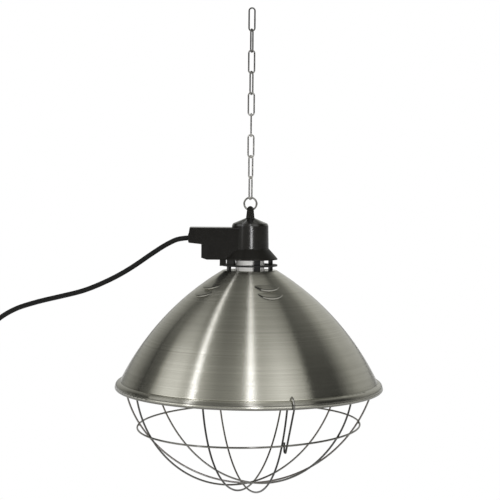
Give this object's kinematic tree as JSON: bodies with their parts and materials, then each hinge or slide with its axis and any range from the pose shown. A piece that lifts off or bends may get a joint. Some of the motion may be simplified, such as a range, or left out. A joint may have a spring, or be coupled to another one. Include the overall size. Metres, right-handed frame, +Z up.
{
  "type": "infrared heat lamp",
  "caption": "Infrared heat lamp: a spun metal shade with air louvres and a wire guard under a black lampholder, hung on a link chain, with reflector bulb, cord and plug.",
  "frame": {"origin": "inside the top of the first chain link, where the hook that carries the lamp bears", "axes": "+Z up along the chain, +X to the right as seen from the front, the cord leaves towards -X"},
  "size_m": [0.5721, 0.351, 0.6924],
  "materials": {
    "plated_wire": "polished",
    "shade_metal": "satin",
    "holder_black": "satin",
    "cage_black": "satin",
    "porcelain": "gloss",
    "contact_brass": "satin",
    "screw_steel": "satin",
    "lead_sleeve": "satin",
    "cord_rubber": "matte",
    "plug_plastic": "matte",
    "bulb_ruby": "gloss",
    "bulb_clear": "gloss",
    "bulb_metal": "satin",
    "solder": "satin",
    "filament": "satin"
  },
  "bodies": {
    "link_1": {"chain_link_1": "plated_wire"},
    "link_2": {"chain_link_2": "plated_wire"},
    "link_3": {"chain_link_3": "plated_wire"},
    "link_4": {"chain_link_4": "plated_wire"},
    "link_5": {"chain_link_5": "plated_wire"},
    "link_6": {"chain_link_6": "plated_wire"},
    "link_7": {"chain_link_7": "plated_wire"},
    "link_8": {"chain_link_8": "plated_wire"},
    "link_9": {"chain_link_9": "plated_wire"},
    "ring": {"hanging_ring": "plated_wire"},
    "lamp": {"holder_cap": "holder_black", "side_housing": "holder_black", "housing_cover": "holder_black", "cover_screws": "screw_steel", "cord_grommet": "cord_rubber", "cord_clamp": "holder_black", "clamp_screws": "screw_steel", "inner_leads": "lead_sleeve", "lampholder_insert": "porcelain", "screw_shell": "contact_brass", "centre_contact": "contact_brass", "terminals": "contact_brass", "terminal_screws": "screw_steel", "spacer_cage": "cage_black", "shade_screws": "screw_steel", "shade": "shade_metal", "cord_lead": "cord_rubber", "cord_coil": "cord_rubber", "cord_tail": "cord_rubber", "cord_tie": "plug_plastic", "plug_body": "plug_plastic", "plug_pins": "contact_brass"},
    "guard": {"guard_rib_1": "plated_wire", "guard_rib_2": "plated_wire", "guard_rib_3": "plated_wire", "guard_rib_4": "plated_wire", "guard_rib_5": "plated_wire", "guard_side_ring": "plated_wire", "guard_top_ring": "plated_wire", "guard_clip": "plated_wire", "guard_rear_hooks": "plated_wire"},
    "bulb": {"bulb_glass": "bulb_ruby", "bulb_base": "bulb_metal", "bulb_contact": "solder", "bulb_stem": "bulb_clear", "bulb_filament": "filament"}
  },
  "joints": [
    {"name": "link_2_swing", "type": "hinge", "parent": "link_1", "child": "link_2", "pos_m": [0, 0, -0.0285], "axis": [1, 0, 0], "range_deg": [-45, 45]},
    {"name": "link_3_swing", "type": "hinge", "parent": "link_2", "child": "link_3", "pos_m": [0, 0, -0.0558], "axis": [0.3584, 0.9336, 0], "range_deg": [-45, 45]},
    {"name": "link_4_swing", "type": "hinge", "parent": "link_3", "child": "link_4", "pos_m": [0, 0, -0.0831], "axis": [-1, 0, 0], "range_deg": [-45, 45]},
    {"name": "link_5_swing", "type": "hinge", "parent": "link_4", "child": "link_5", "pos_m": [0, 0, -0.1104], "axis": [-0.4695, -0.8829, 0], "range_deg": [-45, 45]},
    {"name": "link_6_swing", "type": "hinge", "parent": "link_5", "child": "link_6", "pos_m": [0, 0, -0.1377], "axis": [1, 0, 0], "range_deg": [-45, 45]},
    {"name": "link_7_swing", "type": "hinge", "parent": "link_6", "child": "link_7", "pos_m": [0, 0, -0.165], "axis": [0, 1, 0], "range_deg": [-45, 45]},
    {"name": "link_8_swing", "type": "hinge", "parent": "link_7", "child": "link_8", "pos_m": [0, 0, -0.1923], "axis": [-0.9659, -0.2588, 0], "range_deg": [-45, 45]},
    {"name": "link_9_swing", "type": "hinge", "parent": "link_8", "child": "link_9", "pos_m": [0, 0, -0.2196], "axis": [0.6428, -0.766, 0], "range_deg": [-45, 45]},
    {"name": "ring_swing", "type": "hinge", "parent": "link_9", "child": "ring", "pos_m": [0, 0, -0.2469], "axis": [-0.454, -0.891, 0], "range_deg": [-45, 45]},
    {"name": "lamp_swing", "type": "hinge", "parent": "ring", "child": "lamp", "pos_m": [0, 0, -0.2607], "axis": [1, 0, 0], "range_deg": [-45, 45]},
    {"name": "guard_drop", "type": "slide", "parent": "lamp", "child": "guard", "axis": [0, 0, -1], "range_m": [0, 0.04], "deforming": ["guard_clip", "guard_rear_hooks"]},
    {"name": "bulb_out", "type": "slide", "parent": "lamp", "child": "bulb", "axis": [0, 0, -1], "range_m": [0, 0.045]}
  ]
}
